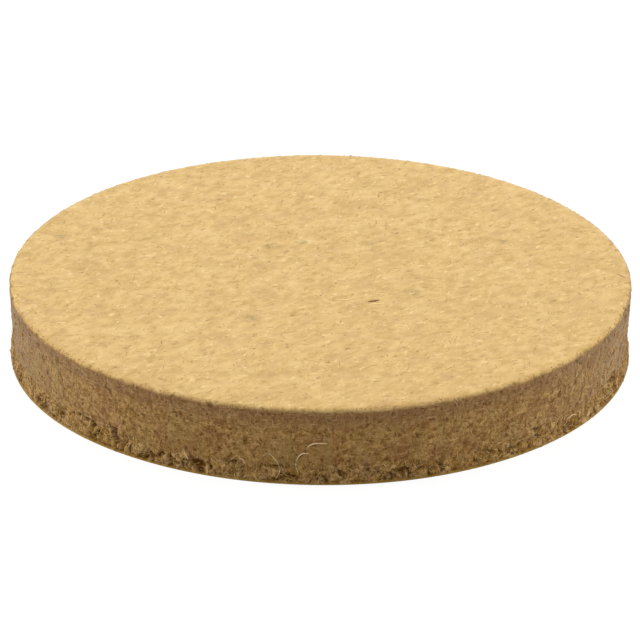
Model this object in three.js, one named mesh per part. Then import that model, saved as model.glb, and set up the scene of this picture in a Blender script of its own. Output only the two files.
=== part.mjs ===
// A round felt furniture pad: one disc stamped from thick needled felt.
// The die went in through the pressed face, which is flat with a softly rolled edge. Below it the
// cut wall draws in to a waist, and the last stretch, which the die tore through, stands out again as
// a band of loose tufts with notches between them. The underside is flat, and its pressed skin keeps
// a clean edge below the tufts.
// Millimetres, +Z up. The origin is the centre of the underside, and the pressed face looks up.
import * as THREE from "three";

// The disc
const PAD_DIAMETER = 38.1;
const PAD_THICKNESS = 5;

// The rolled edge of the pressed face
const ROLLED_EDGE_RADIUS = 0.28;
const ROLLED_EDGE_STEPS = 3;

// The cut wall, which draws in evenly from the rolled edge to the waist
const WAIST_HEIGHT = 1.2;
const WAIST_INSET = 0.21;
const WALL_STEPS = 4;

// The torn band below the waist
const TUFT_CROWN_HEIGHT = 0.4;
const TUFT_CROWN_INSET = 0.11;
const TORN_BAND_STEPS = 5;
const TUFT_LENGTH = 1.35;
const TUFT_RELIEF = 0.11;

// The pressed skin of the underside
const BASE_SKIN_HEIGHT = 0.12;
const BASE_SKIN_INSET = 0.04;
const BASE_EDGE_RADIUS = 0.05;

// How far a stamped felt disc is from a true circle
const OUT_OF_ROUND = 0.035;

// Facets around the disc, short enough to draw a tuft
const FACET_LENGTH = 0.5;

const padRadius = PAD_DIAMETER / 2;
const circumference = Math.PI * PAD_DIAMETER;
const facets = Math.round(circumference / FACET_LENGTH);
const wallTop = PAD_THICKNESS - ROLLED_EDGE_RADIUS;

// 0 at a, 1 at b, and level at both ends.
function easedShare(value, a, b) {
  return THREE.MathUtils.smoothstep((value - a) / (b - a), 0, 1);
}

// How far the wall stands inside the disc's radius at a height, before the tufts.
function wallInset(height) {
  if (height >= WAIST_HEIGHT) return WAIST_INSET * ((wallTop - height) / (wallTop - WAIST_HEIGHT));
  const outAgain = easedShare(height, WAIST_HEIGHT, TUFT_CROWN_HEIGHT);
  return THREE.MathUtils.lerp(WAIST_INSET, TUFT_CROWN_INSET, outAgain);
}

// The half section, from the middle of the underside to the middle of the pressed face.
function halfSection() {
  const section = [];
  const add = (radius, height) => section.push(new THREE.Vector2(radius, height));

  const skinRadius = padRadius - BASE_SKIN_INSET;
  add(0, 0);
  add(skinRadius - BASE_EDGE_RADIUS, 0);
  add(skinRadius, BASE_EDGE_RADIUS);
  add(skinRadius, BASE_SKIN_HEIGHT);

  for (let step = 1; step <= TORN_BAND_STEPS; step += 1) {
    const height = THREE.MathUtils.lerp(BASE_SKIN_HEIGHT, WAIST_HEIGHT, step / TORN_BAND_STEPS);
    add(padRadius - wallInset(height), height);
  }
  for (let step = 1; step <= WALL_STEPS; step += 1) {
    const height = THREE.MathUtils.lerp(WAIST_HEIGHT, wallTop, step / WALL_STEPS);
    add(padRadius - wallInset(height), height);
  }
  for (let step = 1; step <= ROLLED_EDGE_STEPS; step += 1) {
    const turn = (Math.PI / 2) * (step / ROLLED_EDGE_STEPS);
    add(
      padRadius - ROLLED_EDGE_RADIUS * (1 - Math.cos(turn)),
      wallTop + ROLLED_EDGE_RADIUS * Math.sin(turn),
    );
  }
  add(0, PAD_THICKNESS);
  return section;
}

// Slow waves that make the outline a little out of round, from -1 to 1.
function roundnessWave(angle) {
  return 0.5 * Math.sin(2 * angle + 0.7) + 0.3 * Math.sin(5 * angle + 2.1) + 0.2 * Math.sin(9 * angle);
}

// Tufts and notches along the torn band, from -1 to 1. Three waves near one tuft's length beat
// against each other, and two of them change over with height, so that no two tufts are alike.
function tuftWave(angle, height) {
  const tufts = Math.round(circumference / TUFT_LENGTH);
  const rise = Math.PI * (height / WAIST_HEIGHT);
  return (
    0.45 * Math.sin(tufts * angle + 0.9) * Math.cos(rise) +
    0.35 * Math.sin(Math.round(tufts * 0.71) * angle + 1.1) +
    0.2 * Math.sin(Math.round(tufts * 1.27) * angle + 2.6) * Math.cos(2 * rise)
  );
}

// How strongly the tufts show at a height: fully at their crown, and not in the skin or above the waist.
function tuftShare(height) {
  if (height > TUFT_CROWN_HEIGHT) return easedShare(height, WAIST_HEIGHT, TUFT_CROWN_HEIGHT);
  return easedShare(height, BASE_SKIN_HEIGHT, TUFT_CROWN_HEIGHT);
}

function feltPadGeometry() {
  const geometry = new THREE.LatheGeometry(halfSection(), facets);
  geometry.rotateX(Math.PI / 2);
  // LatheGeometry turns its profile about +Y, which the quarter turn has laid along +Z.
  const position = geometry.getAttribute("position");
  for (let i = 0; i < position.count; i += 1) {
    const x = position.getX(i);
    const y = position.getY(i);
    const height = position.getZ(i);
    const radius = Math.hypot(x, y);
    if (radius < padRadius / 2) continue; // the middle of a flat face stays where it is
    const angle = Math.atan2(y, x);
    const outward =
      OUT_OF_ROUND * roundnessWave(angle) +
      TUFT_RELIEF * tuftShare(height) * tuftWave(angle, height);
    position.setX(i, x * (1 + outward / radius));
    position.setY(i, y * (1 + outward / radius));
  }
  geometry.computeVertexNormals();
  return geometry;
}

function needledFelt() {
  return new THREE.MeshStandardMaterial({ color: 0xe2bf85, roughness: 0.95, metalness: 0 });
}

const feltPad = new THREE.Mesh(feltPadGeometry(), needledFelt());
feltPad.name = "felt_pad";

const pad = new THREE.Group();
pad.name = "felt_furniture_pad";
pad.add(feltPad);

export default pad;
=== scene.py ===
import math
from functools import partial

import bmesh
import bpy
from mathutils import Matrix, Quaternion, Vector


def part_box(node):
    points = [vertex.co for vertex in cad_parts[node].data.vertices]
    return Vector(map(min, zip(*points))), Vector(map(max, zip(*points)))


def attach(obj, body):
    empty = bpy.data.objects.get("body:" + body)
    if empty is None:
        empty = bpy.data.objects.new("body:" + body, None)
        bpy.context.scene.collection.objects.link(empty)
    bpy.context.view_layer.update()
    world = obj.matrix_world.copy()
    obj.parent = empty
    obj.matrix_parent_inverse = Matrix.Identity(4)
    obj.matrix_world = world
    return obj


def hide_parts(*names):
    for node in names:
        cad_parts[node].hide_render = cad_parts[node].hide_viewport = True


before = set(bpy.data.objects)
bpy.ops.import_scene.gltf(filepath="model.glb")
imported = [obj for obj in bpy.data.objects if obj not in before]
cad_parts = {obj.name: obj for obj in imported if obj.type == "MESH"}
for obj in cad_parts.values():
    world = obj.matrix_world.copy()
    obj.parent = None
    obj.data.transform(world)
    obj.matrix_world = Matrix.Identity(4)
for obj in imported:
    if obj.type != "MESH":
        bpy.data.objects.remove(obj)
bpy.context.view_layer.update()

MM = 0.001
pad_low, pad_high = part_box("felt_pad")
THICKNESS = pad_high.z
RADIUS = (pad_high.x - pad_low.x + pad_high.y - pad_low.y) / 4

# The section of the disc, as in the part's source
ROLLED_EDGE_RADIUS = 0.28 * MM
WALL_TOP = THICKNESS - ROLLED_EDGE_RADIUS
WAIST_HEIGHT = 1.2 * MM
WAIST_INSET = 0.21 * MM
TUFT_CROWN_HEIGHT = 0.4 * MM
TUFT_CROWN_INSET = 0.11 * MM
BASE_SKIN_HEIGHT = 0.12 * MM
BASE_SKIN_INSET = 0.04 * MM
BASE_EDGE_RADIUS = 0.05 * MM
TUFT_LENGTH = 1.35 * MM
TUFT_RELIEF = 0.11 * MM
OUT_OF_ROUND = 0.035 * MM

# The mesh of the disc: cells across the two flat faces, and the length of a step down the wall
FACE_CELLS = 160
UNDERSIDE_CELLS = 40
ROLLED_EDGE_STEPS = 5
CUT_WALL_STEP = 0.118 * MM
TORN_BAND_STEP = 0.09 * MM
TRANSITION_WIDTH = 0.25 * MM

# The weak grain of the pressed face: its turn from the X axis, and its flakes' length by their width
FACE_GRAIN_ANGLE = math.radians(45)
FACE_GRAIN_STRETCH = 1.35

# The felt's relief: the width of what repeats in it, and the reach of what runs round the foot
FACE_GRAIN_WIDTH = 0.9 * MM
WALL_GRAIN_WIDTH = 0.5 * MM
PIT_WIDTH = 0.42 * MM
CRACK_WANDER_WIDTH = 1.7 * MM
CRACK_STRETCH_WIDTH = 1.5 * MM
CRACK_REACH = 0.15 * MM
CRACK_CORE = 0.03 * MM
LUMP_WARP = 0.8 * MM
LUMP_WARP_WIDTH = 0.5 * MM
CREVICE_AREA_WIDTH = 1.0 * MM
HOLLOW_WIDTH = 0.9 * MM
CREASE_REACH = 0.09 * MM
CREASE_STRETCH_WIDTH = 1.3 * MM
CREASE_SHARE = 0.55
FOOT_BLEND = 0.12 * MM

# A fibre or hair as a mesh, its patch of the UV sheet, how far it stays off the floor and the wall,
# and the thinnest and thickest of its kind
FIBRE_POINTS = 5
FIBRE_SIDES = 3
HAIR_POINTS = 24
FIBRE_UV_SIZE = 0.02
FIBRE_CLEARANCE = 0.035 * MM
HAIR_STAND_OFF = 0.12 * MM
LEAST_THICKNESS_SHARE = 0.55
GREATEST_THICKNESS_SHARE = 1.25

# The photograph's view: a long lens a little above the pad, with a slight roll
VIEW_DISTANCE = 25 * RADIUS
VIEW_ELEVATION = math.radians(24.63)
VIEW_ROLL = math.radians(0.44)
VIEW_AIM = Vector((0, 0, 2.1)) * MM
LENS = 435.7
SENSOR = 36
CLIP_START = 0.05
CLIP_END = 20


def smooth_share(value, start, end):
    """0 at start, 1 at end, and level at both."""
    share = min(max((value - start) / (end - start), 0), 1)
    return share * share * (3 - 2 * share)


# The blank: the disc's true form, before the felt's relief


def wall_inset(height):
    """How far the wall stands inside the disc's radius at a height, before the tufts."""
    if height >= WAIST_HEIGHT:
        return WAIST_INSET * (WALL_TOP - height) / (WALL_TOP - WAIST_HEIGHT)
    out_again = smooth_share(height, WAIST_HEIGHT, TUFT_CROWN_HEIGHT)
    return WAIST_INSET + (TUFT_CROWN_INSET - WAIST_INSET) * out_again


def wall_section():
    """Radius and height of each ring, from the rim of the pressed face down to the underside."""
    section = []
    for step in range(ROLLED_EDGE_STEPS + 1):
        turn = math.pi / 2 * (1 - step / ROLLED_EDGE_STEPS)
        radius = RADIUS - ROLLED_EDGE_RADIUS * (1 - math.cos(turn))
        section.append((radius, WALL_TOP + ROLLED_EDGE_RADIUS * math.sin(turn)))

    stretches = (
        (WALL_TOP, WAIST_HEIGHT, CUT_WALL_STEP),
        (WAIST_HEIGHT, BASE_SKIN_HEIGHT, TORN_BAND_STEP),
    )
    for top, bottom, length in stretches:
        steps = round((top - bottom) / length)
        for step in range(1, steps + 1):
            height = top + (bottom - top) * step / steps
            section.append((RADIUS - wall_inset(height), height))

    # The skin of the underside stands out a little under the tufts
    skin_radius = RADIUS - BASE_SKIN_INSET
    section[-1] = (skin_radius, BASE_SKIN_HEIGHT)
    section.append((skin_radius, BASE_EDGE_RADIUS))
    section.append((skin_radius - BASE_EDGE_RADIUS, 0))
    return section


def out_of_round(angle):
    """Slow waves that make the outline a little out of round, from -1 to 1."""
    return 0.5 * math.sin(2 * angle + 0.7) + 0.3 * math.sin(5 * angle + 2.1) + 0.2 * math.sin(9 * angle)


def tuft_wave(angle, height):
    """Tufts and notches along the torn band, from -1 to 1, as in the part's source."""
    tufts = round(2 * math.pi * RADIUS / TUFT_LENGTH)
    rise = math.pi * height / WAIST_HEIGHT
    return (
        0.45 * math.sin(tufts * angle + 0.9) * math.cos(rise)
        + 0.35 * math.sin(round(tufts * 0.71) * angle + 1.1)
        + 0.2 * math.sin(round(tufts * 1.27) * angle + 2.6) * math.cos(2 * rise)
    )


def tuft_share(height):
    """How strongly the tufts show: fully at their crown, and not in the skin or above the waist."""
    if height > TUFT_CROWN_HEIGHT:
        return smooth_share(height, WAIST_HEIGHT, TUFT_CROWN_HEIGHT)
    return smooth_share(height, BASE_SKIN_HEIGHT, TUFT_CROWN_HEIGHT)


def shaped(point):
    """Moves a point of the plain disc out or in, by the disc's slow waves and its tufts."""
    radius = math.hypot(point.x, point.y)
    if radius < RADIUS / 2:
        return point
    angle = math.atan2(point.y, point.x)
    tufts = TUFT_RELIEF * tuft_share(point.z) * tuft_wave(angle, point.z)
    outward = OUT_OF_ROUND * out_of_round(angle) + tufts
    return Vector((point.x * (1 + outward / radius), point.y * (1 + outward / radius), point.z))


def disc_point(column, row, cells, radius):
    """A corner of a square grid that is bent so that its outline is a circle."""
    across = 2 * column / cells - 1
    up = 2 * row / cells - 1
    if abs(across) > abs(up):
        reach, angle = across, math.pi / 4 * up / across
    elif up:
        reach, angle = up, math.pi / 2 - math.pi / 4 * across / up
    else:
        reach, angle = 0, 0
    return radius * reach * math.cos(angle), radius * reach * math.sin(angle)


def disc_outline(cells):
    """Columns and rows along the outline of such a grid, anticlockwise from its lower right corner."""
    side = range(cells)
    right = [(cells, step) for step in side]
    top = [(cells - step, cells) for step in side]
    left = [(0, cells - step) for step in side]
    bottom = [(step, 0) for step in side]
    return right + top + left + bottom


class Blank:
    """Gathers the points, faces and UV corners of the disc."""

    def __init__(self):
        self.points = []
        self.faces = []
        self.corner_uvs = []

    def point(self, x, y, z):
        self.points.append(shaped(Vector((x, y, z))))
        return len(self.points) - 1

    def face(self, corners, uvs):
        self.faces.append(corners)
        self.corner_uvs.extend(uvs)

    def ring(self, radius, height, count):
        """A ring that starts at the same corner as disc_outline."""
        first = -math.pi / 4
        turns = [first + 2 * math.pi * step / count for step in range(count)]
        return [self.point(radius * math.cos(turn), radius * math.sin(turn), height) for turn in turns]

    def disc(self, radius, height, cells, place):
        """Fills a flat face, and returns its outline."""
        index = {}
        for row in range(cells + 1):
            for column in range(cells + 1):
                x, y = disc_point(column, row, cells, radius)
                index[column, row] = self.point(x, y, height)
        for row in range(cells):
            for column in range(cells):
                corners = [(column, row), (column + 1, row), (column + 1, row + 1), (column, row + 1)]
                self.flat_face([index[corner] for corner in corners], place)
        return [index[corner] for corner in disc_outline(cells)]

    def flat_face(self, corners, place):
        """A face of one of the two flat sides, with its UVs laid out by place."""
        self.face(corners, [place(self.points[corner]) for corner in corners])

    def step_down(self, fine, coarse, place):
        """Joins a ring to one inside it that has half its points."""
        count = len(coarse)
        for step in range(count):
            a, b = coarse[step], coarse[(step + 1) % count]
            c, d, e = fine[2 * step], fine[2 * step + 1], fine[(2 * step + 2) % len(fine)]
            self.flat_face([a, c, d], place)
            self.flat_face([a, d, b], place)
            self.flat_face([b, d, e], place)


# The layout of the UV map: the pressed face and the underside as discs, the wall as three strips
SHEET = 61.5 * MM
SHEET_GAP = 0.5 * MM
WALL_STRIPS = 3
WALL_STRIP_HEIGHT = 7.2 * MM
UNDERSIDE_SHARE = 0.53


def face_place(point):
    """Where a point of the pressed face lies on the UV sheet."""
    centre = SHEET - RADIUS - SHEET_GAP
    return (point.x + RADIUS + SHEET_GAP) / SHEET, (point.y + centre) / SHEET


def underside_place(point):
    """Where a point of the underside lies: a smaller disc beside the pressed face."""
    across = 2 * RADIUS + 2 * SHEET_GAP + UNDERSIDE_SHARE * RADIUS
    up = SHEET - UNDERSIDE_SHARE * RADIUS - SHEET_GAP
    return (across + UNDERSIDE_SHARE * point.x) / SHEET, (up + UNDERSIDE_SHARE * point.y) / SHEET


def wall_place(around, down):
    """Where a point of the wall lies, from its share of the way round and of the way down."""
    strip = min(int(around * WALL_STRIPS), WALL_STRIPS - 1)

    def place(share):
        along = SHEET_GAP + (share * WALL_STRIPS - strip) * (SHEET - 2 * SHEET_GAP)
        up = SHEET_GAP + strip * (WALL_STRIP_HEIGHT + SHEET_GAP) + (1 - down) * WALL_STRIP_HEIGHT
        return along / SHEET, up / SHEET

    return place


def felt_blank():
    """The disc as a closed mesh with small, even cells, and a UV map."""
    blank = Blank()
    section = wall_section()
    columns = 8 * FACE_CELLS
    rings = [blank.ring(radius, height, columns) for radius, height in section]

    face_radius = section[0][0] - TRANSITION_WIDTH
    blank.step_down(rings[0], blank.disc(face_radius, THICKNESS, FACE_CELLS, face_place), face_place)

    down = [0]
    for above, below in zip(section, section[1:]):
        down.append(down[-1] + math.dist(above, below))
    for row in range(len(rings) - 1):
        for column in range(columns):
            after = (column + 1) % columns
            corners = [rings[row][column], rings[row + 1][column], rings[row + 1][after], rings[row][after]]
            upper = wall_place((column + 0.5) / columns, down[row] / down[-1])
            lower = wall_place((column + 0.5) / columns, down[row + 1] / down[-1])
            left, right = column / columns, (column + 1) / columns
            blank.face(corners, [upper(left), lower(left), lower(right), upper(right)])

    outer, radius, width = rings[-1], section[-1][0], TRANSITION_WIDTH
    while len(outer) > 8 * UNDERSIDE_CELLS:
        radius -= width
        inner = blank.ring(radius, 0, len(outer) // 2)
        blank.step_down(outer, inner, underside_place)
        outer, width = inner, 2 * width
    underside = blank.disc(radius - width, 0, UNDERSIDE_CELLS, underside_place)
    blank.step_down(outer, underside, underside_place)

    mesh = bpy.data.meshes.new("felt_body")
    mesh.from_pydata(blank.points, [], blank.faces)
    uv_map = mesh.uv_layers.new(name="OFBake")
    uv_map.data.foreach_set("uv", [value for uv in blank.corner_uvs for value in uv])
    shell = bmesh.new()
    shell.from_mesh(mesh)
    bmesh.ops.recalc_face_normals(shell, faces=shell.faces)
    shell.to_mesh(mesh)
    shell.free()
    mesh.shade_smooth()
    return mesh


# Node trees

# The kinds of node that come up most, and the setting of a soft-edged range
MATH = "ShaderNodeMath"
VECTOR_MATH = "ShaderNodeVectorMath"
MAP_RANGE = "ShaderNodeMapRange"
NOISE = "ShaderNodeTexNoise"
SEPARATE = "ShaderNodeSeparateXYZ"
RANDOM = "FunctionNodeRandomValue"
STORE = "GeometryNodeStoreNamedAttribute"
SMOOTH = {"interpolation_type": "SMOOTHSTEP"}


def add_node(tree, kind, inputs=(), operation=None, **settings):
    """Adds a node. Its inputs are a tuple in the node's own order, or a dict of their names or numbers.
    An input takes a value, a socket, or a node, which stands for its first output."""
    node = tree.nodes.new(kind)
    if operation:
        settings["operation"] = operation
    for name, value in settings.items():
        setattr(node, name, value)
    if isinstance(inputs, tuple):
        inputs = dict(enumerate(inputs))
    for key, value in inputs.items():
        named = [socket for socket in node.inputs if socket.name == key and socket.enabled]
        socket = node.inputs[key] if isinstance(key, int) else named[0]
        if isinstance(value, bpy.types.Node):
            value = next(output for output in value.outputs if output.enabled)
        if isinstance(value, bpy.types.NodeSocket):
            tree.links.new(value, socket)
        else:
            socket.default_value = value
    return node


def soft_spots(tree, place, width, start, end, most=1.0, **settings):
    """Soft-edged spots of noise of about this width: 0 round them, and most inside them. Most may be a
    mask itself."""
    noise = add_node(tree, NOISE, {"Vector": place, "Scale": 1 / width, **settings})
    return add_node(
        tree, MAP_RANGE, {"Value": noise, "From Min": start, "From Max": end, "To Max": most}, **SMOOTH
    )


def round_spots(tree, place, spots, edge, core, most=1.0):
    """Soft-edged round spots, each a centre and a width: 0 from edge widths off the centre outwards,
    and most within core widths of it."""
    mask = 0.0
    for centre, width in spots:
        off_centre = add_node(tree, VECTOR_MATH, (place, centre), "DISTANCE")
        fade = {"From Min": edge * width, "From Max": core * width, "To Max": most}
        spot = add_node(tree, MAP_RANGE, {"Value": off_centre.outputs["Value"], **fade}, **SMOOTH)
        mask = add_node(tree, MATH, (mask, spot), "MAXIMUM")
    return mask


def moved_about(tree, place, noise, reach):
    """A place moved by this much times the colour of a noise, taken about its middle."""
    way = add_node(tree, VECTOR_MATH, (noise.outputs["Color"], (0.5, 0.5, 0.5)), "SUBTRACT")
    offset = add_node(tree, VECTOR_MATH, {0: way, "Scale": reach}, "SCALE")
    return add_node(tree, VECTOR_MATH, (place, offset), "ADD")


def near(tree, above, reach, core):
    """A soft-edged band: 1 within core of a height, and 0 beyond its reach, from how far above it is."""
    off = add_node(tree, MATH, (above,), "ABSOLUTE")
    return add_node(tree, MAP_RANGE, {"Value": off, "From Min": reach, "From Max": core}, **SMOOTH)


def raised(tree, noise, relief, mask):
    """A rise and fall of this relief, as a noise goes about its middle, where the mask is 1."""
    rise = add_node(tree, MATH, (noise, 0.5), "SUBTRACT")
    rise = add_node(tree, MATH, (rise, relief), "MULTIPLY")
    return add_node(tree, MATH, (rise, mask), "MULTIPLY")


def arched(tree, along):
    """0 at both ends of a fibre and 1 in the middle, from the share of its length."""
    half_turn = add_node(tree, MATH, (along, math.pi), "MULTIPLY")
    return add_node(tree, MATH, (half_turn,), "SINE")


def geometry_tree(name, sizes, **others):
    """An empty geometry tree with inputs for a mesh, its material, named sizes, and others of a kind
    each. Returns it with its inputs."""
    kinds = {"Geometry": "Geometry", "Material": "Material", **dict.fromkeys(sizes, "Float"), **others}
    tree = bpy.data.node_groups.new(name, "GeometryNodeTree")
    for label, kind in kinds.items():
        tree.interface.new_socket(label, in_out="INPUT", socket_type=f"NodeSocket{kind}")
    tree.interface.new_socket("Geometry", in_out="OUTPUT", socket_type="NodeSocketGeometry")
    return tree, tree.nodes.new("NodeGroupInput").outputs


def finish_tree(tree, given, geometry):
    """Ends a geometry tree: nothing stays an instance, and everything gets the material."""
    real = add_node(tree, "GeometryNodeRealizeInstances", {"Geometry": geometry})
    dressed = add_node(tree, "GeometryNodeSetMaterial", {"Geometry": real, "Material": given["Material"]})
    add_node(tree, "NodeGroupOutput", (dressed,))


def new_object(name, data):
    """Puts an object with this data into the scene, at the origin."""
    thing = bpy.data.objects.new(name, data)
    bpy.context.scene.collection.objects.link(thing)
    return thing


def settled(name, mesh, tree, sizes):
    """Runs a geometry tree on a mesh with these sizes, and returns the result as a plain piece."""
    piece = new_object(name, mesh)
    modifier = piece.modifiers.new(tree.name, "NODES")
    modifier.node_group = tree
    for item in tree.interface.items_tree:
        if item.in_out == "INPUT" and item.name in sizes:
            modifier[item.identifier] = sizes[item.name]
    depsgraph = bpy.context.evaluated_depsgraph_get()
    result = bpy.data.meshes.new_from_object(
        piece.evaluated_get(depsgraph), preserve_all_data_layers=True, depsgraph=depsgraph
    )
    piece.modifiers.remove(modifier)
    piece.data = result
    result.name = name
    return piece


def felt_relief_tree():
    """Raises the smooth disc into felt: a low relief on the pressed face, a rougher cut wall with
    pits, and below it lumps parted by crevices and hollows, under a crack that comes and goes. What
    lies deep is kept as an attribute for the material to paint shade into, and the crowns of the lumps
    as another, for a painted highlight."""
    reliefs = ("Face Relief", "Wall Relief", "Pit Depth", "Lump Relief", "Lump Width", "Crevice Depth")
    tree, given = geometry_tree("felt_relief", (*reliefs, "Crack Lowest", "Crack Highest"))
    add = partial(add_node, tree)
    position = add("GeometryNodeInputPosition")
    normal = add("GeometryNodeInputNormal")
    height = add(SEPARATE, (position,)).outputs["Z"]
    lean = add(SEPARATE, (normal,)).outputs["Z"]
    steepness = add(MATH, (lean,), "ABSOLUTE")
    on_wall = add(MAP_RANGE, {"Value": steepness, "From Min": 0.95, "From Max": 0.5}, **SMOOTH)
    on_face = add(MAP_RANGE, {"Value": lean, "From Min": 0.5, "From Max": 0.95}, **SMOOTH)

    # The pressed face has a low grain that runs one way
    turned = add(
        "ShaderNodeVectorRotate", {"Vector": position, "Angle": -FACE_GRAIN_ANGLE}, rotation_type="Z_AXIS"
    )
    grain_place = add(VECTOR_MATH, (turned, (1 / FACE_GRAIN_STRETCH, 1.0, 1.0)), "MULTIPLY")
    face_grain = add(NOISE, {"Vector": grain_place, "Scale": 1 / FACE_GRAIN_WIDTH, "Detail": 2.0})
    face_rise = raised(tree, face_grain, given["Face Relief"], on_face)

    # The cut wall is rough all over, and pitted where the die pulled fibres out
    wall_grain = {"Vector": position, "Scale": 1 / WALL_GRAIN_WIDTH, "Detail": 3.0, "Roughness": 0.6}
    wall_grain = add(NOISE, wall_grain)
    wall_rise = raised(tree, wall_grain, given["Wall Relief"], on_wall)
    pits = soft_spots(tree, position, PIT_WIDTH, 0.62, 0.74, most=on_wall, Detail=1.0)
    pit_drop = add(MATH, (pits, given["Pit Depth"]), "MULTIPLY")

    # The crack wanders up and down, and comes and goes. The torn band is what lies under it
    wander = add(NOISE, {"Vector": position, "Scale": 1 / CRACK_WANDER_WIDTH, "Detail": 2.0})
    between = {"To Min": given["Crack Lowest"], "To Max": given["Crack Highest"]}
    crack_height = add(MAP_RANGE, {"Value": wander, "From Min": 0.3, "From Max": 0.7, **between})
    above_crack = add(MATH, (height, crack_height), "SUBTRACT")
    crack = near(tree, above_crack, CRACK_REACH, CRACK_CORE)
    crack = soft_spots(tree, position, CRACK_STRETCH_WIDTH, 0.52, 0.62, most=crack, Detail=2.0)
    crack = add(MATH, (crack, on_wall), "MULTIPLY")
    below_crack = add(
        MAP_RANGE, {"Value": above_crack, "From Min": 0.12 * MM, "From Max": -0.06 * MM}, **SMOOTH
    )
    torn = add(MATH, (below_crack, on_wall), "MULTIPLY")

    # Lumps of the torn band, and the crevices between them
    warp_noise = add(NOISE, {"Vector": position, "Scale": 1 / LUMP_WARP_WIDTH})
    warped = moved_about(tree, position, warp_noise, LUMP_WARP)
    lump_scale = add(MATH, (1.0, given["Lump Width"]), "DIVIDE")
    lump = add("ShaderNodeTexVoronoi", {"Vector": warped, "Scale": lump_scale})
    lump_rise = add(MATH, (0.5, lump), "SUBTRACT")
    lump_rise = add(MATH, (lump_rise, given["Lump Relief"]), "MULTIPLY")
    lump_rise = add(MATH, (lump_rise, torn), "MULTIPLY")
    lump_edge = add(
        "ShaderNodeTexVoronoi", {"Vector": warped, "Scale": lump_scale}, feature="DISTANCE_TO_EDGE"
    )
    gaps = add(MAP_RANGE, {"Value": lump_edge, "From Min": 0.17, "From Max": 0.03}, **SMOOTH)
    crevices = soft_spots(tree, position, CREVICE_AREA_WIDTH, 0.54, 0.66, most=gaps)
    crevices = add(MATH, (crevices, torn), "MULTIPLY")
    splits = add(MATH, (crevices, crack), "MAXIMUM")

    # Hollows where tufts are gone: small ones all round, and the larger ones in front
    hollows = soft_spots(tree, warped, HOLLOW_WIDTH, 0.64, 0.73, most=torn, Detail=1.0)
    large = [(on_the_wall(along, up, 0), width * MM) for along, up, width in FOOT_HOLLOWS]
    large = round_spots(tree, warped, large, 0.6, 0.25)
    hollows = add(MATH, (hollows, large), "MAXIMUM")
    splits = add(MATH, (splits, hollows), "MAXIMUM")

    # A crease parts the tufts from the skin of the underside
    above_crease = add(MATH, (height, BASE_SKIN_HEIGHT + CREASE_REACH), "SUBTRACT")
    crease = near(tree, above_crease, CREASE_REACH, 0.0)
    crease = soft_spots(tree, position, CREASE_STRETCH_WIDTH, 0.46, 0.6, most=crease, Detail=2.0)
    crease = add(MATH, (crease, CREASE_SHARE), "MULTIPLY")
    splits = add(MATH, (splits, crease), "MAXIMUM")
    split_drop = add(MATH, (splits, given["Crevice Depth"]), "MULTIPLY")

    # All of it together, less at the very foot, which stays on the floor
    rise = add(MATH, (face_rise, wall_rise), "ADD")
    rise = add(MATH, (rise, lump_rise), "ADD")
    drop = add(MATH, (pit_drop, split_drop), "ADD")
    relief = add(MATH, (rise, drop), "SUBTRACT")
    above_skin = {"From Min": BASE_SKIN_HEIGHT, "From Max": BASE_SKIN_HEIGHT + FOOT_BLEND}
    off_floor = add(MAP_RANGE, {"Value": height, **above_skin})
    relief = add(MATH, (relief, off_floor), "MULTIPLY")
    offset = add(VECTOR_MATH, {0: normal, "Scale": relief}, "SCALE")
    # Where the material paints shade: the pits at half strength, and the crack, crevices, hollows and
    # crease
    cavity = add(MATH, (pits, 0.5), "MULTIPLY")
    cavity = add(MATH, (cavity, splits), "MAXIMUM")
    # Where the material paints a highlight: the crowns of the lumps of the torn band
    crown = add(MAP_RANGE, {"Value": lump, "From Min": 0.75, "From Max": 0.1})
    crown = add(MATH, (crown, torn), "MULTIPLY")

    marked = given["Geometry"]
    for name, value in (("cavity", cavity), ("tuft", crown)):
        marked = add(STORE, {"Geometry": marked, "Name": name, "Value": value})
    moved = add("GeometryNodeSetPosition", {"Geometry": marked, "Offset": offset})
    finish_tree(tree, given, moved)
    return tree


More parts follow.
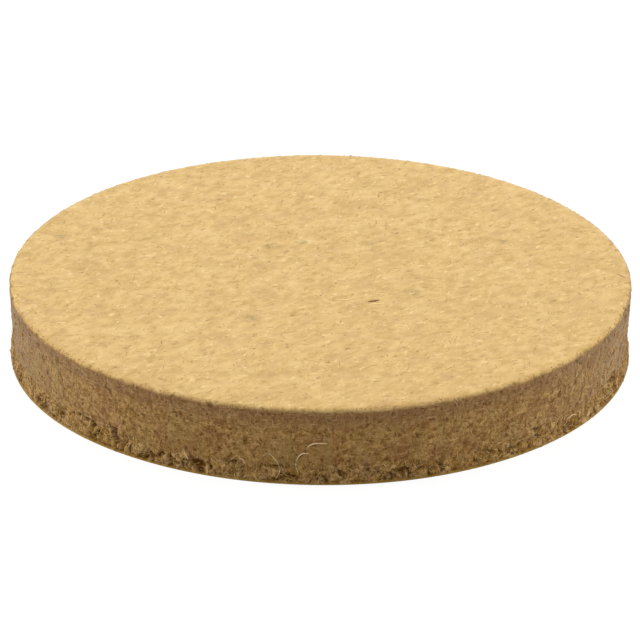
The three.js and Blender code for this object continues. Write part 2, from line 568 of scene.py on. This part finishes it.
def sweep_fibres(tree, given, curves):
    """Ends a tree: thin closed tubes along its curves, that taper to both ends. The curves' attributes
    "shade" and "width" give each its own. U of their UV map is the shade, and V the height on the pad."""
    add = partial(add_node, tree)
    along = add("GeometryNodeSplineParameter").outputs["Factor"]
    curves = add(STORE, {"Geometry": curves, "Name": "along", "Value": along})
    kept = {
        name: add("GeometryNodeInputNamedAttribute", {"Name": name})
        for name in ("shade", "width", "along", "around")
    }

    # A section flattened towards the felt, and thinner at both ends
    section = add("GeometryNodeCurvePrimitiveCircle", {"Resolution": FIBRE_SIDES, "Radius": 0.5})
    section = add(STORE, {"Geometry": section, "Name": "around", "Value": along})
    shape = add("ShaderNodeCombineXYZ", (given["Flatness"], 1.0, 1.0))
    section = add("GeometryNodeTransform", {"Geometry": section, "Scale": shape})
    taper = add(MAP_RANGE, {"Value": arched(tree, along), "From Max": 0.8, "To Min": 0.3, "To Max": 1.0})
    thickness = add(MATH, (kept["width"], taper), "MULTIPLY")
    tubes = add(
        "GeometryNodeCurveToMesh",
        {"Curve": curves, "Profile Curve": section, "Scale": thickness, "Fill Caps": True},
    )

    # The UV map
    shade_u = add(MATH, (kept["along"], FIBRE_UV_SIZE, kept["shade"]), "MULTIPLY_ADD")
    fit_u = add(MAP_RANGE, {"Value": shade_u, "From Max": 1 + FIBRE_UV_SIZE})
    position = add("GeometryNodeInputPosition")
    height = add(SEPARATE, (position,)).outputs["Z"]
    rise_share = add(MATH, (height, THICKNESS), "DIVIDE")
    height_v = add(MATH, (kept["around"], FIBRE_UV_SIZE, rise_share), "MULTIPLY_ADD")
    fit_v = add(MAP_RANGE, {"Value": height_v, "From Min": -0.05, "From Max": 1.1})
    uv = add("ShaderNodeCombineXYZ", (fit_u, fit_v))
    tubes = add(
        STORE, {"Geometry": tubes, "Name": "OFBake", "Value": uv}, data_type="FLOAT2", domain="CORNER"
    )
    for name in kept:
        tubes = add("GeometryNodeRemoveAttribute", {"Geometry": tubes, "Name": name})
    finish_tree(tree, given, add("GeometryNodeSetShadeSmooth", {"Geometry": tubes}))


def fibre_tree():
    """Lays fibres in a surface: short curled tubes, each snapped to the felt below it."""
    zone = ("Lowest", "Highest", "Least Slope", "Greatest Slope", "Number per Area")
    form = ("Shortest", "Longest", "Thickness", "Flatness", "Spread", "Curl", "Curl Width")
    rise = ("Sink", "Lift", "Loose End")
    tree, given = geometry_tree("felt_fibres", zone + form + rise, Along="Vector", Seed="Int")
    add = partial(add_node, tree)
    felt = given["Geometry"]
    position = add("GeometryNodeInputPosition")
    normal = add("GeometryNodeInputNormal")
    height = add(SEPARATE, (position,)).outputs["Z"]
    slope = add(SEPARATE, (normal,)).outputs["Z"]

    # Where the fibres grow
    limits = (
        (height, given["Lowest"], "GREATER_THAN"),
        (height, given["Highest"], "LESS_THAN"),
        (slope, given["Least Slope"], "GREATER_THAN"),
        (slope, given["Greatest Slope"], "LESS_THAN"),
    )
    zone = True
    for value, limit, side in limits:
        inside = add("FunctionNodeCompare", {"A": value, "B": limit}, side)
        zone = add("FunctionNodeBooleanMath", (zone, inside), "AND")
    scattered = add(
        "GeometryNodeDistributePointsOnFaces",
        {"Mesh": felt, "Selection": zone, "Density": given["Number per Area"], "Seed": given["Seed"]},
    )
    surface_normal = scattered.outputs["Normal"]

    # Which way each one lies: near "Along", turned by up to "Spread"
    against = add(VECTOR_MATH, (given["Along"], surface_normal), "DOT_PRODUCT")
    shadow = add(VECTOR_MATH, {0: surface_normal, "Scale": against.outputs["Value"]}, "SCALE")
    flat_along = add(VECTOR_MATH, (given["Along"], shadow), "SUBTRACT")
    least_turn = add(MATH, (given["Spread"], -1.0), "MULTIPLY")
    turn = add(RANDOM, {"Min": least_turn, "Max": given["Spread"], "Seed": given["Seed"]})
    direction = add("ShaderNodeVectorRotate", {"Vector": flat_along, "Axis": surface_normal, "Angle": turn})
    laid = add("FunctionNodeAxesToRotation", {"Primary Axis": surface_normal, "Secondary Axis": direction})
    length_seed = add(MATH, (given["Seed"], 1.0), "ADD")
    length = add(RANDOM, {"Min": given["Shortest"], "Max": given["Longest"], "Seed": length_seed})
    straight = add("GeometryNodeCurvePrimitiveLine", {"Start": (-0.5, 0.0, 0.0), "End": (0.5, 0.0, 0.0)})
    straight = add("GeometryNodeResampleCurve", {"Curve": straight, "Count": FIBRE_POINTS})
    strewn = add(
        "GeometryNodeInstanceOnPoints",
        {"Points": scattered.outputs["Points"], "Instance": straight, "Rotation": laid, "Scale": length},
    )
    fibres = add("GeometryNodeRealizeInstances", {"Geometry": strewn})

    # Each fibre curls in its own way
    fibre_number = add("GeometryNodeCurveOfPoint").outputs["Curve Index"]
    own_place = add(RANDOM, {"Max": 50.0, "ID": fibre_number, "Seed": 2})
    curl_scale = add(MATH, (1.0, given["Curl Width"]), "DIVIDE")
    curls = {"Vector": position, "W": own_place, "Scale": curl_scale, "Detail": 1.0}
    curl_noise = add(NOISE, curls, noise_dimensions="4D")
    curled_to = moved_about(tree, position, curl_noise, given["Curl"])

    # It follows the felt, arches a little, and one end may stand off
    nearest, nearest_normal = (
        add(
            "GeometryNodeSampleNearestSurface",
            {"Mesh": felt, "Value": value, "Sample Position": curled_to},
            data_type="FLOAT_VECTOR",
        )
        for value in (position, normal)
    )
    along = add("GeometryNodeSplineParameter").outputs["Factor"]
    own_lift = add(RANDOM, {"Max": given["Lift"], "ID": fibre_number, "Seed": 3})
    lift = add(MATH, (arched(tree, along), own_lift), "MULTIPLY")
    looseness = add(RANDOM, {"ID": fibre_number, "Seed": 4})
    rare = add(MATH, (looseness, 3.0), "POWER")
    end_lift = add(MATH, (along, 2.0), "POWER")
    end_lift = add(MATH, (end_lift, rare), "MULTIPLY")
    end_lift = add(MATH, (end_lift, given["Loose End"]), "MULTIPLY")
    rise = add(MATH, (lift, end_lift), "ADD")
    rise = add(MATH, (rise, given["Sink"]), "SUBTRACT")
    out = add(VECTOR_MATH, {0: nearest_normal, "Scale": rise}, "SCALE")
    resting = add(VECTOR_MATH, (nearest, out), "ADD")
    off_floor = add(VECTOR_MATH, (resting, (-1.0, -1.0, FIBRE_CLEARANCE)), "MAXIMUM")
    shade = add(RANDOM, {"ID": fibre_number, "Seed": 5})
    shares = {"Min": LEAST_THICKNESS_SHARE, "Max": GREATEST_THICKNESS_SHARE}
    width_share = add(RANDOM, {**shares, "ID": fibre_number, "Seed": 6})
    width = add(MATH, (width_share, given["Thickness"]), "MULTIPLY")
    for name, value in (("shade", shade), ("width", width)):
        fibres = add(STORE, {"Geometry": fibres, "Name": name, "Value": value})
    fibres = add("GeometryNodeSetCurveNormal", {"Curve": fibres, "Normal": nearest_normal}, mode="FREE")
    fibres = add("GeometryNodeSetPosition", {"Geometry": fibres, "Position": off_floor})
    sweep_fibres(tree, given, fibres)
    return tree


def hair_tree():
    """Makes single hairs from chains of points that carry their widths: a smooth curve through each
    chain, swept as a fibre is."""
    tree, given = geometry_tree("single_hairs", ("Flatness",))
    add = partial(add_node, tree)
    straight = add("GeometryNodeMeshToCurve", {"Mesh": given["Geometry"]})
    smooth = add("GeometryNodeCurveSplineType", {"Curve": straight}, spline_type="CATMULL_ROM")
    hairs = add("GeometryNodeResampleCurve", {"Curve": smooth, "Count": HAIR_POINTS})
    hair_number = add("GeometryNodeCurveOfPoint").outputs["Curve Index"]
    shade = add(RANDOM, {"ID": hair_number, "Seed": 5})
    hairs = add(STORE, {"Geometry": hairs, "Name": "shade", "Value": shade})
    upright = add("GeometryNodeSetCurveNormal", {"Curve": hairs, "Normal": (0.0, 0.0, 1.0)}, mode="FREE")
    sweep_fibres(tree, given, upright)
    return tree


# Materials


def linear(hex_colour):
    """Turns an sRGB hex colour to linear RGBA."""
    values = [int(hex_colour[start : start + 2], 16) / 255 for start in (0, 2, 4)]
    return tuple(v / 12.92 if v <= 0.04045 else ((v + 0.055) / 1.055) ** 2.4 for v in values) + (1.0,)


def colour_run(tree, factor, shades):
    """A run of hex colours, each with its place from 0 to 1."""
    node = add_node(tree, "ShaderNodeValToRGB", {"Fac": factor})
    elements = node.color_ramp.elements
    while len(elements) < len(shades):
        elements.new(0.5)
    for element, (place, shade) in zip(elements, shades):
        element.position, element.color = place, linear(shade)
    return node


def laid_over(tree, below, layers):
    """Lays hex colours over a colour, each where its mask is 1."""
    for mask, shade in layers:
        below = add_node(
            tree, "ShaderNodeMix", {"Factor": mask, "A": below, "B": linear(shade)}, data_type="RGBA"
        )
    return below


def empty_tree(owner):
    """The node tree of a material or a world, with nothing in it."""
    owner.use_nodes = True
    owner.node_tree.nodes.clear()
    return owner.node_tree


def new_material(name, roughness, sheen):
    """A material with only its output and a dull shader. Returns it, its tree and the shader."""
    material = bpy.data.materials.new(name)
    tree = empty_tree(material)
    fuzz = {"Sheen Weight": sheen, "Sheen Roughness": 0.3, "Sheen Tint": linear("faeeda")}
    dull = {"Roughness": roughness, "Specular IOR Level": 0.08, **fuzz}
    shader = add_node(tree, "ShaderNodeBsdfPrincipled", dull)
    add_node(tree, "ShaderNodeOutputMaterial", {"Surface": shader})
    return material, tree, shader


def pressed_face_colour(tree, place):
    """The pressed face: tan, in soft flakes with a weak grain, some cream-coloured and some dull, partly
    by their own tone and partly as painted highlights on their ridges and painted shade behind them,
    with specks and a few smudges."""
    add = partial(add_node, tree)
    turn, stretch = (0.0, 0.0, FACE_GRAIN_ANGLE), (FACE_GRAIN_STRETCH, 1.0, 1.0)
    grain = add(
        "ShaderNodeMapping", {"Vector": place, "Rotation": turn, "Scale": stretch}, vector_type="TEXTURE"
    )
    flakes = add(NOISE, {"Vector": grain, "Scale": 1 / (0.6 * MM), "Detail": 4.0, "Roughness": 0.6})
    tan = colour_run(tree, flakes, ((0.3, "cea967"), (0.5, "e0bb78"), (0.7, "ebc785")))
    cream_cloud = soft_spots(tree, place, 1.8 * MM, 0.52, 0.7, most=0.4, Detail=4.0)
    lower = add(VECTOR_MATH, (grain, (0.0, 0.0, 5 * MM)), "ADD")
    dull_cloud = soft_spots(tree, lower, 1.5 * MM, 0.5, 0.68, most=0.45, Detail=4.0)
    # Cream-coloured and dull flakes along the grain: partly the felt's own tone, and partly painted
    # highlights on the flakes' ridges and painted shade behind them
    cream_and_highlight = soft_spots(tree, grain, 0.45 * MM, 0.58, 0.66, most=0.8, Detail=5.0, Roughness=0.65)
    dull = soft_spots(tree, lower, 0.5 * MM, 0.57, 0.68, most=0.8, Detail=5.0, Roughness=0.7)
    specks = soft_spots(tree, lower, 0.3 * MM, 0.66, 0.78, most=0.8, Detail=2.0)

    # Smudges of dirt, broken up by the fibres
    spots = [((x * MM, y * MM, THICKNESS), width * MM) for x, y, width in FACE_SMUDGES]
    smudges = round_spots(tree, place, spots, 0.7, 0.1, most=0.8)
    smudges = soft_spots(tree, grain, 0.5 * MM, 0.4, 0.6, most=smudges, Detail=4.0, Roughness=0.7)
    layers = (
        (cream_cloud, "f1cf90"),
        (dull_cloud, "d0a56e"),
        (cream_and_highlight, "f6d899"),
        (dull, "b88d58"),
        (smudges, "a68a57"),
        (specks, "9a7340"),
    )
    return laid_over(tree, tan, layers), flakes


def cut_wall_colour(tree, place):
    """The cut wall: mottled brown in reddish and khaki patches, with fine upright drag marks from the
    die, level threads, and small dark pits, whose dark is painted shade. A mauve band lies under the
    rim. The foot has golden spots, dark specks and a line of golden brown at its edge, a painted
    highlight, speckled, on the crowns of its lumps, and black-brown painted shade in the deep places:
    the pits, the crack, and the crevices, hollows and crease of the foot."""
    add = partial(add_node, tree)
    height = add(SEPARATE, (place,)).outputs["Z"]
    mottle = add(NOISE, {"Vector": place, "Scale": 1 / (0.42 * MM), "Detail": 5.0, "Roughness": 0.75})
    brown = colour_run(tree, mottle, ((0.32, "5d3b0b"), (0.5, "a0783f"), (0.68, "dcb578")))
    upright = add("ShaderNodeMapping", {"Vector": place, "Scale": (1.0, 1.0, 0.22)})
    drag_marks = soft_spots(tree, upright, 0.13 * MM, 0.5, 0.7, most=0.25, Detail=2.0)
    patches = soft_spots(tree, place, 1.6 * MM, 0.45, 0.65, most=0.55, Detail=3.0)
    khaki = soft_spots(tree, upright, 0.9 * MM, 0.52, 0.68, most=0.55, Detail=3.0)
    mauve = add(MAP_RANGE, {"Value": height, "From Min": 3.4 * MM, "From Max": 4.3 * MM, "To Max": 0.65})
    threads = add("ShaderNodeMapping", {"Vector": place, "Scale": (0.5, 0.5, 2.4)})
    threads = soft_spots(tree, threads, 0.22 * MM, 0.54, 0.7, most=0.45, Detail=2.0)
    # Dark spots painted as the shade inside small pits
    pits = soft_spots(tree, place, 0.3 * MM, 0.57, 0.7, most=0.8, Detail=3.0)
    # A painted highlight on the crowns of the lumps, speckled by the mottle
    tuft = add("ShaderNodeAttribute", attribute_name="tuft").outputs["Fac"]
    speckled = add(
        MAP_RANGE, {"Value": mottle, "From Min": 0.42, "From Max": 0.58, "To Min": 0.35, "To Max": 1.0}
    )
    tuft = add(MATH, (tuft, speckled), "MULTIPLY")
    # Black-brown painted shade in the deep places of the wall and the foot
    cavity = add("ShaderNodeAttribute", attribute_name="cavity").outputs["Fac"]
    low_down = add(MAP_RANGE, {"Value": height, "From Min": 1.6 * MM, "From Max": 0.6 * MM, "To Max": 0.6})
    golden_spots = soft_spots(tree, place, 1.3 * MM, 0.52, 0.62, most=low_down, Detail=3.0)
    foot_specks = soft_spots(tree, place, 0.17 * MM, 0.54, 0.66, most=low_down, Detail=3.0)
    golden = add(MAP_RANGE, {"Value": height, "From Min": 0.17 * MM, "From Max": 0.09 * MM, "To Max": 0.85})
    layers = (
        (patches, "8e6038"),
        (khaki, "9d834a"),
        (mauve, "876342"),
        (drag_marks, "c9a473"),
        (threads, "cba878"),
        (tuft, "e4bc80"),
        (golden_spots, "b08436"),
        (pits, "5c3a08"),
        (foot_specks, "5e3f10"),
        (cavity, "6c4408"),
        (golden, "b08a38"),
    )
    return laid_over(tree, brown, layers), mottle


def needled_felt():
    """Needled felt of wool and coarse plant fibre, pressed on one face and die cut round the edge,
    which gives a smooth tan face, a brown fibrous wall, and no gloss."""
    material, tree, shader = new_material("needled_felt", 0.95, 1.0)
    add = partial(add_node, tree)
    place = add("ShaderNodeTexCoord").outputs["Object"]
    height = add(SEPARATE, (place,)).outputs["Z"]
    face, flakes = pressed_face_colour(tree, place)
    wall, mottle = cut_wall_colour(tree, place)

    # The tan skin ends part of the way round the rolled edge, in a soft ragged line
    ragged = add(NOISE, {"Vector": place, "Scale": 1 / (0.45 * MM), "Detail": 4.0, "Roughness": 0.7})
    slow = add(NOISE, {"Vector": place, "Scale": 1 / (2.5 * MM), "Detail": 1.0})
    wobble = add(MATH, (ragged, 0.2 * MM, height), "MULTIPLY_ADD")
    wobble = add(MATH, (slow, 0.3 * MM, wobble), "MULTIPLY_ADD")
    skin_end = {"From Min": THICKNESS - 0.05 * MM, "From Max": THICKNESS + 0.23 * MM}
    on_face = add(MAP_RANGE, {"Value": wobble, **skin_end}, **SMOOTH)
    colour = add("ShaderNodeMix", {"Factor": on_face, "A": wall, "B": face}, data_type="RGBA")
    tree.links.new(colour.outputs["Result"], shader.inputs["Base Color"])

    # Relief too fine for the mesh
    fine = add(NOISE, {"Vector": place, "Scale": 1 / (0.15 * MM), "Detail": 3.0, "Roughness": 0.8})
    face_bump = add(MATH, (flakes, 0.22), "MULTIPLY")
    wall_bump = add(MATH, (fine, mottle), "ADD")
    relief = add("ShaderNodeMix", {"Factor": on_face, "A": wall_bump, "B": face_bump})
    bump = add("ShaderNodeBump", {"Height": relief, "Distance": 0.06 * MM, "Strength": 0.9})
    tree.links.new(bump.outputs["Normal"], shader.inputs["Normal"])
    return material


def felt_fibre(name, shades):
    """Single coarse fibres of the felt. Each has a shade of its own, from a run of hex colours that
    goes by the U of its UV map, and is a little darker low on the wall."""
    material, tree, shader = new_material(name, 0.85, 0.3)
    add = partial(add_node, tree)
    uv = add("ShaderNodeUVMap", uv_map="OFBake")
    split = add(SEPARATE, (uv,))
    last = len(shades) - 1
    places = [(number / last, shade) for number, shade in enumerate(shades)]
    colour = colour_run(tree, split.outputs["X"], places)
    low = add(
        MAP_RANGE,
        {"Value": split.outputs["Y"], "From Min": 0.04, "From Max": 0.3, "To Min": 0.95, "To Max": 1.0},
    )
    darker = add(VECTOR_MATH, {0: colour, "Scale": low}, "SCALE")
    tree.links.new(darker.outputs[0], shader.inputs["Base Color"])
    return material


# The pieces


def felt_piece(name, mesh, tree, sizes):
    """Makes one piece of the pad and says what it is to the frame."""
    piece = settled(name, mesh, tree, sizes)
    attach(piece, "root")
    return piece


def chains(name, hairs):
    """A mesh of chains of points, with the width of each hair at its points."""
    mesh = bpy.data.meshes.new(name)
    points, links, widths = [], [], []
    for width, places in hairs:
        first = len(points)
        points.extend(places)
        links.extend((first + step, first + step + 1) for step in range(len(places) - 1))
        widths.extend([width] * len(places))
    mesh.from_pydata(points, links, [])
    mesh.attributes.new("width", "FLOAT", "POINT").data.foreach_set("value", widths)
    return mesh


def on_the_wall(along, height, stand_off):
    """A point on the wall or this far off it, from millimetres round from the front and up."""
    angle = along * MM / RADIUS
    radius = RADIUS - wall_inset(height * MM) + stand_off
    return radius * math.sin(angle), -radius * math.cos(angle), height * MM


# Loose hairs on the front half of the wall: each hair's width, then its millimetres along and up
WALL_HAIRS = (
    (0.085, ((0.5, 2.79), (-0.23, 2.78), (-0.6, 2.61), (-0.75, 2.28), (-0.66, 2.13))),
    (0.085, ((-0.56, 2.08), (-0.91, 2.1), (-1.18, 1.92), (-1.35, 1.56), (-1.37, 1.17), (-1.21, 0.79))),
    (0.08, ((-3.06, 2.07), (-2.77, 1.78), (-2.49, 1.42), (-2.35, 1.05), (-2.38, 0.7), (-2.58, 0.36))),
    (0.08, ((-8.41, 1.5), (-8.22, 1.12), (-8.02, 0.84))),
    (0.07, ((-4.8, 1.45), (-4.59, 1.41), (-4.49, 1.25), (-4.38, 1.02))),
    (0.05, ((-8.36, 3.05), (-8.33, 2.75), (-8.31, 2.44))),
    (0.05, ((-1.62, 3.71), (-1.57, 3.4), (-1.46, 3.1))),
    (0.07, ((17.2, 1.03), (17.75, 1.12), (18.24, 0.98))),
    (0.06, ((18.02, 3.88), (17.95, 3.75), (17.84, 3.68))),
)

# Hollows in the torn band of the front half: millimetres along and up, and the width of each
FOOT_HOLLOWS = (
    (-18.25, 0.74, 0.75), (-16.24, 0.88, 0.35), (-15.17, 0.54, 0.5), (-11.4, 0.4, 0.35),
    (-7.25, 0.6, 0.65), (-6.6, 0.7, 0.35), (-5.7, 0.95, 0.25), (-2.3, 0.56, 0.55),
    (1.26, 0.7, 0.5), (3.36, 0.72, 0.3), (5.0, 0.55, 0.55), (6.8, 0.55, 0.3),
    (9.96, 0.5, 0.35), (14.56, 0.75, 0.3),
)

# Dark plant fibres pressed into the face: each one's width, then its x and y in millimetres
FACE_FLECKS = (
    (0.5, ((2.9, -3.6), (3.25, -3.47), (3.62, -3.33))),
    (0.14, ((18.17, 0.84), (18.35, 0.66), (18.55, 0.42), (18.73, 0.22))),
    (0.09, ((-6.67, -16.78), (-6.51, -16.63), (-6.4, -16.43), (-6.27, -16.28))),
    (0.12, ((6.75, 5.62), (6.95, 5.72), (7.1, 5.7))),
    (0.12, ((3.8, 15.6), (3.98, 15.66), (4.15, 15.62))),
    (0.13, ((-13.62, -12.9), (-13.45, -12.78))),
    (0.12, ((-6.95, -6.6), (-6.72, -6.42))),
    (0.12, ((-4.05, -10.6), (-3.86, -10.45))),
    (0.16, ((0.9, -0.95), (1.02, -0.88))),
    (0.14, ((-5.15, -1.75), (-4.98, -1.6))),
    (0.15, ((-0.03, -2.75), (0.12, -2.66))),
)

# Cream flakes pressed into the face, in the same way
FACE_FLAKES = (
    (0.36, ((2.95, -4.0), (3.4, -3.95), (3.9, -3.85))),
    (0.3, ((1.1, -3.3), (1.5, -3.35), (1.95, -3.2))),
    (0.28, ((0.95, 0.75), (1.2, 0.9), (1.45, 0.92))),
    (0.5, ((6.0, 1.6), (6.25, 1.75), (6.5, 1.7))),
    (0.5, ((5.85, -6.75), (6.2, -6.65), (6.5, -6.7))),
    (0.24, ((3.6, -3.2), (3.9, -3.0), (4.15, -2.95))),
)

# Smudges on the face: the middle and the width of each, in millimetres
FACE_SMUDGES = (
    (5.53, -2.17, 1.1), (2.93, 5.17, 0.9), (-3.1, 4.6, 1.2), (11.4, 5.48, 0.8),
    (-4.17, -6.17, 1.2), (-8.47, 7.56, 0.5), (-14.3, 4.6, 0.9), (-16.1, 5.85, 0.9),
    (-1.15, 5.2, 0.7),
)


def build_fibres(felt):
    """The fibres in the surfaces of the felt: what grows where, how thick and how long, which way it
    lies, how it curls, and how far it stands off."""
    tree = fibre_tree()
    with_grain = {"Along": (math.cos(FACE_GRAIN_ANGLE), math.sin(FACE_GRAIN_ANGLE), 0.0), "Spread": 0.9}
    any_way = {"Along": (0.0, 0.0, 1.0), "Spread": math.pi}
    upright_felt = {"Least Slope": -0.8, "Greatest Slope": 0.8}
    pressed = ("b08b50", "cfa867", "d9b16e", "dfb974", "e3bd79", "e8c37f", "edcb87", "f4d693")
    cut = ("6b4719", "8b6633", "a17844", "ad844f", "be9662", "d5b282")
    torn = ("80581f", "ac8040", "c89c53", "dab46f", "eacb92")
    rim = ("9a783f", "b08d50", "c39f60", "d0ac6c", "dbb777")
    kinds = {
        "face_fibres": {
            "Lowest": 0.9 * THICKNESS, "Highest": 1.1 * THICKNESS,
            "Least Slope": 0.9, "Greatest Slope": 1.1,
            "Number per Area": 5.0 / MM**2, "Shortest": 0.25 * MM, "Longest": 0.8 * MM,
            "Thickness": 0.1 * MM, "Flatness": 0.3, **with_grain, "Curl": 0.35 * MM, "Curl Width": 0.8 * MM,
            "Sink": 0.005 * MM, "Lift": 0.004 * MM, "Loose End": 0.0, "Seed": 11,
            "Material": felt_fibre("pressed_fibre", pressed),
        },
        "wall_fibres": {
            "Lowest": 0.9 * MM, "Highest": WALL_TOP, **upright_felt,
            "Number per Area": 12.0 / MM**2, "Shortest": 0.2 * MM, "Longest": 0.6 * MM,
            "Thickness": 0.05 * MM, "Flatness": 0.8, **any_way, "Curl": 0.35 * MM, "Curl Width": 0.6 * MM,
            "Sink": 0.006 * MM, "Lift": 0.01 * MM, "Loose End": 0.04 * MM, "Seed": 23,
            "Material": felt_fibre("cut_fibre", cut),
        },
        "foot_tufts": {
            "Lowest": 0.16 * MM, "Highest": 1.25 * MM, **upright_felt,
            "Number per Area": 24 / MM**2, "Shortest": 0.2 * MM, "Longest": 0.6 * MM,
            "Thickness": 0.055 * MM, "Flatness": 0.8, **any_way, "Curl": 0.5 * MM, "Curl Width": 0.4 * MM,
            "Sink": 0.005 * MM, "Lift": 0.05 * MM, "Loose End": 0.1 * MM, "Seed": 37,
            "Material": felt_fibre("torn_fibre", torn),
        },
        "rim_fuzz": {
            "Lowest": WALL_TOP - 0.05 * MM, "Highest": THICKNESS - 0.01 * MM,
            "Least Slope": 0.1, "Greatest Slope": 0.93,
            "Number per Area": 40 / MM**2, "Shortest": 0.12 * MM, "Longest": 0.3 * MM,
            "Thickness": 0.04 * MM, "Flatness": 0.8, **any_way, "Curl": 0.3 * MM, "Curl Width": 0.4 * MM,
            "Sink": 0.004 * MM, "Lift": 0.015 * MM, "Loose End": 0.05 * MM, "Seed": 41,
            "Material": felt_fibre("rim_fibre", rim),
        },
    }
    for name, sizes in kinds.items():
        felt_piece(name, felt, tree, sizes)


def build_pad():
    """The felt disc, the fibres in its surfaces, and its single hairs and flecks."""
    relief = {
        "Face Relief": 0.02 * MM, "Wall Relief": 0.08 * MM, "Pit Depth": 0.1 * MM,
        "Lump Relief": 0.2 * MM, "Lump Width": 0.62 * MM, "Crevice Depth": 0.24 * MM,
        "Crack Lowest": 0.8 * MM, "Crack Highest": 1.4 * MM, "Material": needled_felt(),
    }
    body = felt_piece("felt_body", felt_blank(), felt_relief_tree(), relief)
    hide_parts("felt_pad")
    build_fibres(body.data)

    hairs = hair_tree()
    wall_hairs = [
        (width * MM, [on_the_wall(along, height, HAIR_STAND_OFF) for along, height in places])
        for width, places in WALL_HAIRS
    ]
    loose_hair = {"Flatness": 1.0, "Material": felt_fibre("loose_hair", ("f2cd97", "fce3b1"))}
    felt_piece("wall_hairs", chains("wall_hairs", wall_hairs), hairs, loose_hair)
    marks = (
        ("face_flecks", FACE_FLECKS, felt_fibre("pressed_fleck", ("8f6a45", "9c7850"))),
        ("face_flakes", FACE_FLAKES, felt_fibre("pressed_flake", ("f3d38c", "fadb9c"))),
    )
    for name, kind, look in marks:
        lines = [(width * MM, [(x * MM, y * MM, THICKNESS) for x, y in places]) for width, places in kind]
        felt_piece(name, chains(name, lines), hairs, {"Flatness": 0.2, "Material": look})


# The stage

# Half the width of the floor, the white of what the camera sees of the paper, by its own glow and by
# the lamps, and the level light of the surround on the pad
FLOOR_REACH = 4.0
PAPER_GLOW = 0.9
LIT_PAPER = 0.18
SURROUND_LIGHT = 0.5


def grey(value):
    """A grey as linear RGBA."""
    return value, value, value, 1.0


def seen_directly(tree):
    """1 for the camera, in reflections and through glass, and 0 for the light on the object."""
    path = add_node(tree, "ShaderNodeLightPath")
    seen = (path.outputs["Is Camera Ray"], path.outputs["Is Glossy Ray"])
    seen = add_node(tree, MATH, seen, "MAXIMUM")
    return add_node(tree, MATH, (seen, path.outputs["Is Transmission Ray"]), "MAXIMUM")


def matte_paper():
    """Matte white paper, which looks plain white, with next to no shadow on it, and lights the pad from
    below as real paper does."""
    material = bpy.data.materials.new("matte_paper")
    tree = empty_tree(material)
    add = partial(add_node, tree)
    lit = add("ShaderNodeBsdfDiffuse", {"Color": grey(LIT_PAPER)})
    glow = add("ShaderNodeEmission", {"Color": grey(1.0), "Strength": PAPER_GLOW})
    bright = add("ShaderNodeAddShader", (lit, glow))
    plain = add("ShaderNodeBsdfDiffuse", {"Color": grey(0.8)})
    mixed = add("ShaderNodeMixShader", (seen_directly(tree), plain, bright))
    add("ShaderNodeOutputMaterial", {"Surface": mixed})
    return material


def build_stage():
    """A wide paper floor under a white surround."""
    mesh = bpy.data.meshes.new("floor")
    corners = [(FLOOR_REACH * x, FLOOR_REACH * y, 0) for x, y in ((-1, -1), (1, -1), (1, 1), (-1, 1))]
    mesh.from_pydata(corners, [], [(0, 1, 2, 3)])
    mesh.materials.append(matte_paper())
    floor = new_object("floor", mesh)

    world = bpy.data.worlds.new("studio")
    bpy.context.scene.world = world
    tree = empty_tree(world)
    strength = {"Value": seen_directly(tree), "To Min": SURROUND_LIGHT, "To Max": 1.0}
    strength = add_node(tree, MAP_RANGE, strength)
    background = add_node(tree, "ShaderNodeBackground", {"Color": grey(1.0), "Strength": strength})
    add_node(tree, "ShaderNodeOutputWorld", {"Surface": background})


def stand(thing, centre, way, distance, roll=0.0):
    """Puts a lamp or a camera at this distance from a centre, looking back at it."""
    thing.location = centre + way * distance
    thing.rotation_mode = "QUATERNION"
    thing.rotation_quaternion = way.to_track_quat("Z", "Y") @ Quaternion((0, 0, 1), roll)


def softbox(name, azimuth, elevation, distance, width, share):
    """A square soft lamp. Share is the part of plain level light that it gives to a face towards it."""
    lamp = bpy.data.lights.new(name, "AREA")
    lamp.shape = "SQUARE"
    lamp.size = width
    lamp.energy = share * math.pi**2 * distance**2
    turn, rise = math.radians(azimuth), math.radians(elevation)
    way = Vector((math.sin(turn) * math.cos(rise), -math.cos(turn) * math.cos(rise), math.sin(rise)))
    stand(new_object(name, lamp), Vector(), way, distance)


def build_lights():
    """A softbox over the pad and one at each side, so that the front of the wall lies in soft shade."""
    softbox("top_softbox", 180, 68, 0.5, 0.3, 0.31)
    softbox("left_softbox", -98, 15, 0.45, 0.2, 0.56)
    softbox("right_softbox", 101, 15, 0.45, 0.2, 0.52)


def build_camera():
    """A long lens at the photograph's height, aimed a little under the middle of the pad."""
    data = bpy.data.cameras.new("camera")
    data.sensor_width = SENSOR
    data.lens = LENS
    data.clip_start = CLIP_START
    data.clip_end = CLIP_END
    camera = new_object("camera", data)
    back = Vector((0, -math.cos(VIEW_ELEVATION), math.sin(VIEW_ELEVATION)))
    stand(camera, VIEW_AIM, back, VIEW_DISTANCE, VIEW_ROLL)
    bpy.context.scene.camera = camera


build_camera()
build_pad()
build_stage()
build_lights()
bpy.context.scene.view_settings.view_transform = "Standard"
